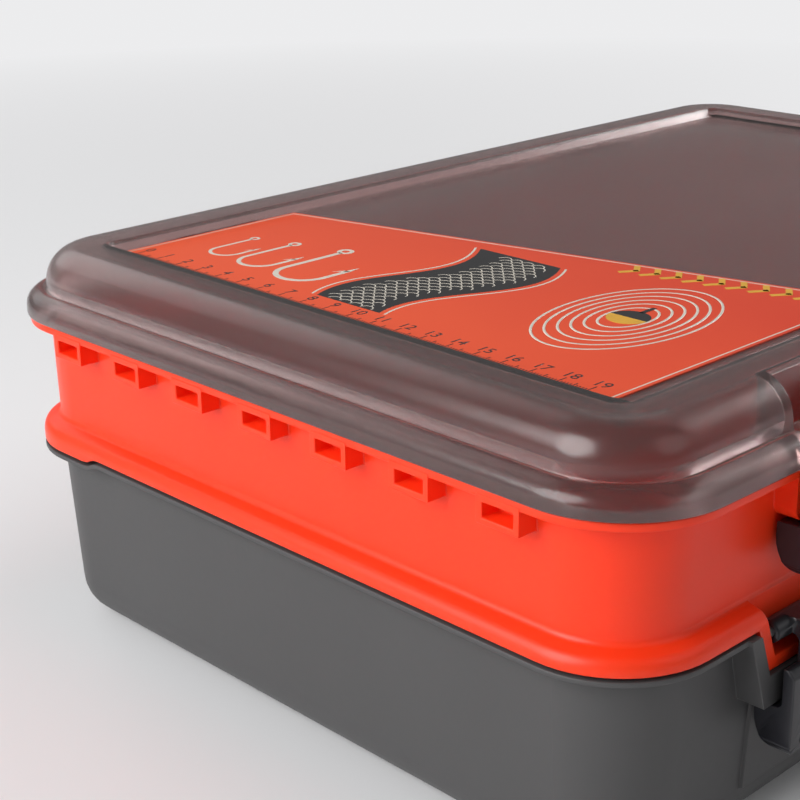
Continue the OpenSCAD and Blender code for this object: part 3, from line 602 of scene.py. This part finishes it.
def wave_scales():
    """Rows of small arcs, like scales, inside the dark wave."""
    first = on_label(82, 13)
    plan = Plan("label_scales", Columns=40, Rows=10, Pitch=4.6 * MM, Radius=2.3 * MM, Thickness=0.36 * MM,
                Corner=(first.x, first.y, FILM))
    pitch, columns = plan.size("Pitch"), plan.size("Columns")
    arc = plan.node("GeometryNodeCurveArc", inputs={
        "Resolution": 9, "Radius": plan.size("Radius"), "Start Angle": -math.pi / 2, "Sweep Angle": math.pi})
    strip = plan.swept(arc, plan.square(plan.size("Thickness")), **{"Fill Caps": True})
    flat = plan.moved(strip, scale=(1, 1, 0.25))
    index = plan.node("GeometryNodeInputIndex")
    row = (index / columns).down()
    column = index - row * columns
    corner_x, corner_y, corner_z = (plan.node(
        "ShaderNodeSeparateXYZ", inputs={"Vector": plan.size("Corner")}, out=axis) for axis in range(3))
    x = corner_x + column * pitch * 0.5
    y = corner_y + row * pitch + pitch * 0.5 * (1 - column.every(2))
    points = plan.node("GeometryNodePoints", inputs={"Count": columns * plan.size("Rows"), "Radius": 0.0})
    placed = plan.node("GeometryNodeSetPosition",
                       inputs={"Geometry": points, "Position": plan.vector(x, y, corner_z)})
    across, along = (x - label_low.x) / MM, (y - label_low.y) / MM
    inside = abs(along - swell(across, Wire.wave)).below(8.5) * across.below(WAVE_END - 3)
    kept = plan.node("GeometryNodeSeparateGeometry", {"domain": "POINT"},
                     {"Geometry": placed, "Selection": inside})
    return plan.built(plan.set_on(kept, flat), cream, "lid", "label")


def ripples():
    """Rings that spread around a float on the water, at the front of the label."""
    place = on_label(FLOAT_ALONG, FLOAT_ACROSS)
    plan = Plan("label_ripples", Count=6, First=11.0, Step=4.6, Thickness=0.8, Squeeze=0.62,
                Middle=(place.x, place.y, FILM))
    index = plan.node("GeometryNodeInputIndex")
    ring = plan.circle(72, 1.0)
    line = plan.node("GeometryNodeMeshLine", inputs={"Count": plan.size("Count"), "Offset": (0, 0, 0)})
    reach = plan.size("First") + index * plan.size("Step")
    rings = plan.whole(plan.set_on(line, ring, Scale=plan.vector(reach, reach * plan.size("Squeeze"), 1)))
    strips = plan.swept(rings, plan.square(plan.size("Thickness")))
    flat = plan.moved(strips, scale=(MM, MM, 0.06 * MM), translation=plan.size("Middle"))
    return plan.built(flat, cream, "lid", "label")


def fishing_float():
    """A round float in the middle of the ripples, dark on one half, with its stem, and amber on the other."""
    steps, radius = 24, 6.4 * MM
    middle = on_label(FLOAT_ALONG, FLOAT_ACROSS)
    for name, start, material in (("upper", -math.pi / 2, charcoal), ("lower", math.pi / 2, amber)):
        turns = [start + math.pi * i / steps for i in range(steps + 1)]
        shape = bmesh.new()
        add_slab(shape, [middle + radius * Vector((math.cos(a), math.sin(a))) for a in turns], THICK_INK)
        if name == "upper":
            add_line(shape, [middle + Vector((radius * 0.9, 0)), middle + Vector((radius * 1.9, 0))],
                     1.6 * MM, THICK_INK)
        printed("label_float_" + name, shape, material)


def hook_path(along, across, bend, shank):
    """A fishing hook seen from the side, from its barb round the bend and up the shank to its eye."""
    turns = [math.radians(-180 * i / 14) for i in range(15)]
    path = ([Vector((bend, bend * 1.15))] + [Vector((bend * math.cos(a), bend * math.sin(a))) for a in turns]
            + [Vector((-bend, shank))])
    return [on_label(along - p.x, across + p.y) for p in path]


def hooks():
    """Three hooks of different sizes in a row, each with its barb and its eye."""
    shape = bmesh.new()
    across, top = 26, FILM + 0.04 * MM
    turns = [2 * math.pi * i / 16 for i in range(16)]
    for along, size in ((142, 30.0), (163, 24.0), (180, 19.0)):
        bend, shank, eye_radius, wire = size * 0.30, size * 0.78, size * 0.07, size * 0.062 * MM
        add_line(shape, hook_path(along, across, bend, shank), wire, top)
        tip = on_label(along - bend, across + bend * 1.15)
        barb = on_label(along - bend * 0.62, across + bend * 0.72)
        add_slab(shape, [tip + Vector((0, -wire / 2)), tip + Vector((bend * 0.5 * MM, 0)),
                         tip + Vector((0, wire / 2)), barb], top)
        eye = on_label(along + bend, across + shank + eye_radius)
        add_line(shape, [eye + eye_radius * MM * Vector((math.cos(a), math.sin(a))) for a in turns],
                 wire * 0.8, top, closed=True)
    return printed("label_hooks", shape, cream)


def ruler_ticks(count):
    """A ruler along the label's left edge: a tick each millimetre, longer at five and ten."""
    place = on_label(RULER_ALONG, 2.2)
    plan = Plan("label_ruler", Count=count, Pitch=1.0 * MM, Short=2.0 * MM, Middling=3.2 * MM, Long=4.6 * MM,
                Thickness=0.36 * MM, Height=0.08 * MM, Start=(place.x, place.y, FILM))
    index = plan.node("GeometryNodeInputIndex")
    fifth, tenth = index.every(5), index.every(10)
    length = (plan.size("Short") + fifth * (plan.size("Middling") - plan.size("Short"))
              + tenth * (plan.size("Long") - plan.size("Middling")))
    cube = plan.moved(plan.node("GeometryNodeMeshCube", inputs={"Size": (1, 1, 1)}), translation=(0.5, 0, 0))
    line = plan.node("GeometryNodeMeshLine", inputs={
        "Count": plan.size("Count"), "Start Location": plan.size("Start"),
        "Offset": plan.vector(y=plan.size("Pitch") * -1)})
    ticks = plan.set_on(line, cube, Scale=plan.vector(length, plan.size("Thickness"), plan.size("Height")))
    return plan.built(ticks, charcoal, "lid", "label")


def ruler_numbers(count):
    """The ruler's plain numbers, one each centimetre, read from the box's left side."""
    shape = bmesh.new()
    for number in range(count):
        digits = bpy.data.curves.new("number", "FONT")
        digits.body = str(number)
        digits.size = 5.4 * MM
        digits.align_x = "CENTER"
        digits.extrude = 0.04 * MM
        carrier = shown("number", digits)
        flat = finished_mesh(carrier)
        place = on_label(RULER_ALONG - 10 * number, 7.4)
        flat.transform(Matrix.Translation((place.x, place.y, FILM)) @ Matrix.Rotation(-math.pi / 2, 4, "Z"))
        shape.from_mesh(flat)
        bpy.data.objects.remove(carrier)
    bmesh.ops.remove_doubles(shape, verts=shape.verts, dist=0.001 * MM)
    return printed("label_numbers", shape, charcoal)


def chevrons():
    """A row of chevrons along the slanting edge of the label."""
    count, inset = 10, 7
    first, last = (on_label(along, label_width(along) - inset) for along in (8, 70))
    step = (last - first) / (count - 1)
    plan = Plan("label_chevrons", Count=count, Start=(first.x, first.y, FILM), Step=(step.x, step.y, 0.0),
                Length=6.4 * MM, Width=2.0 * MM, Height=0.09 * MM)
    bar = plan.node("GeometryNodeMeshCube", inputs={
        "Size": plan.vector(plan.size("Length"), plan.size("Width"), plan.size("Height"))})
    reach = plan.size("Length") * 0.33
    legs = plan.node("GeometryNodeJoinGeometry")
    for side in (1, -1):
        leg = plan.moved(bar, rotation=(0, 0, side * math.radians(35)),
                         translation=plan.vector(x=reach * side))
        plan.feed(legs.socket.node.inputs[0], leg)
    line = plan.node("GeometryNodeMeshLine", inputs={
        "Count": plan.size("Count"), "Start Location": plan.size("Start"), "Offset": plan.size("Step")})
    return plan.built(plan.set_on(line, legs), amber, "lid", "label")


def edge_line():
    """A thin line just inside the label's edge."""
    inset = 1.4
    back = (label_high.y - label_low.y) / MM
    corners = [on_label(inset, inset), on_label(inset, label_width(inset) - inset * 1.1),
               on_label(back - inset, label_width(back - inset) - inset * 1.1), on_label(back - inset, inset)]
    shape = bmesh.new()
    add_line(shape, corners, 0.5 * MM, INK, closed=True)
    return printed("label_edge_line", shape, cream)


# ---- the object ----

place_camera()
for name, thing in nodes.items():
    thing.data.materials.clear()
    thing.data.materials.append(finish[slot_of_node[name]])
for name, width in ROUNDING.items():
    moulded(name, width, hollows=name.endswith("shell"))
lifted_film()

ejector_marks("tray_pin_marks", "tray_plastic", "tray", 0.0, TRAY_FLOOR, 6, 8, 60 * MM, 30.5 * MM)
ejector_marks("front_pin_marks", "lower_plastic", "lower_box", -47 * MM, LOWER_FLOOR, 4, 3, 90 * MM, 45 * MM)
ejector_marks("back_pin_marks", "lower_plastic", "lower_box", 68 * MM, LOWER_FLOOR, 4, 1, 90 * MM, 45 * MM)
grip_rings()

edge_line()
dark_wave()
wave_scales()
ripples()
fishing_float()
hooks()
chevrons()
ruler_ticks(191)
ruler_numbers(20)


# ---- floor and light ----

PALE = (0.84, 0.84, 0.85, 1)


def pale_floor():
    """A pale matt floor that runs out into the backdrop's own colour."""
    paint = Paint("floor", Roughness=0.9, Specular_IOR_Level=0.2)
    paint.set(Base_Color=shade(PALE, 0.96))
    x, y = paint.axis("X"), paint.axis("Y")
    far = (((x * x + y * y).root() - 0.45) / 0.9).held()
    backdrop = paint.node("ShaderNodeEmission", inputs={"Color": PALE})
    seen = paint.node("ShaderNodeLightPath", out="Is Camera Ray")
    mix = paint.node("ShaderNodeMixShader", inputs={
        0: far * seen, 1: Wire(paint, paint.shader.outputs[0]), 2: backdrop})
    paint.feed(paint.end.inputs["Surface"], mix)
    return paint.material


def set_stage():
    """The floor, and a world whose light is soft while its seen colour is the backdrop's."""
    mesh = bpy.data.meshes.new("floor")
    half = 6.0
    corners = [(-half, -half, 0), (half, -half, 0), (half, half, 0), (-half, half, 0)]
    mesh.from_pydata(corners, [], [(0, 1, 2, 3)])
    mesh.materials.append(pale_floor())
    shown("floor", mesh)

    world = bpy.data.worlds.new("studio")
    bpy.context.scene.world = world
    world.use_nodes = True
    air = Tree(world.node_tree)
    seen = air.node("ShaderNodeBackground", inputs={"Color": PALE})
    soft = air.node("ShaderNodeBackground", inputs={"Color": (1, 1, 1, 1), "Strength": 0.21})
    by_camera = air.node("ShaderNodeLightPath", out="Is Camera Ray")
    mix = air.node("ShaderNodeMixShader", inputs={0: by_camera, 1: soft, 2: seen})
    air.feed(air.tree.nodes.new("ShaderNodeOutputWorld").inputs["Surface"], mix)


def lamp(name, place, aim, size, watts):
    """A round soft lamp that points at a place."""
    data = bpy.data.lights.new(name, "AREA")
    data.shape = "DISK"
    data.size = size
    data.energy = watts
    thing = shown(name, data)
    thing.location = place
    thing.rotation_euler = (Vector(aim) - Vector(place)).to_track_quat("-Z", "Y").to_euler()


def light_stage():
    """The key light from the left, as in the photograph, and weaker ones all round."""
    lamp("key", (-1.45, 0.30, 0.80), (-0.1, 0, 0.06), 1.3, 28)
    lamp("front", (0.3, -1.5, 1.0), (0, 0, 0.05), 1.2, 2.5)
    lamp("back", (-0.1, 1.6, 1.2), (0, 0, 0.1), 1.6, 6)
    lamp("right", (1.66, -0.32, 0.70), (0, 0, 0.1), 0.9, 22)


set_stage()
light_stage()
bpy.context.scene.view_settings.view_transform = "Standard"
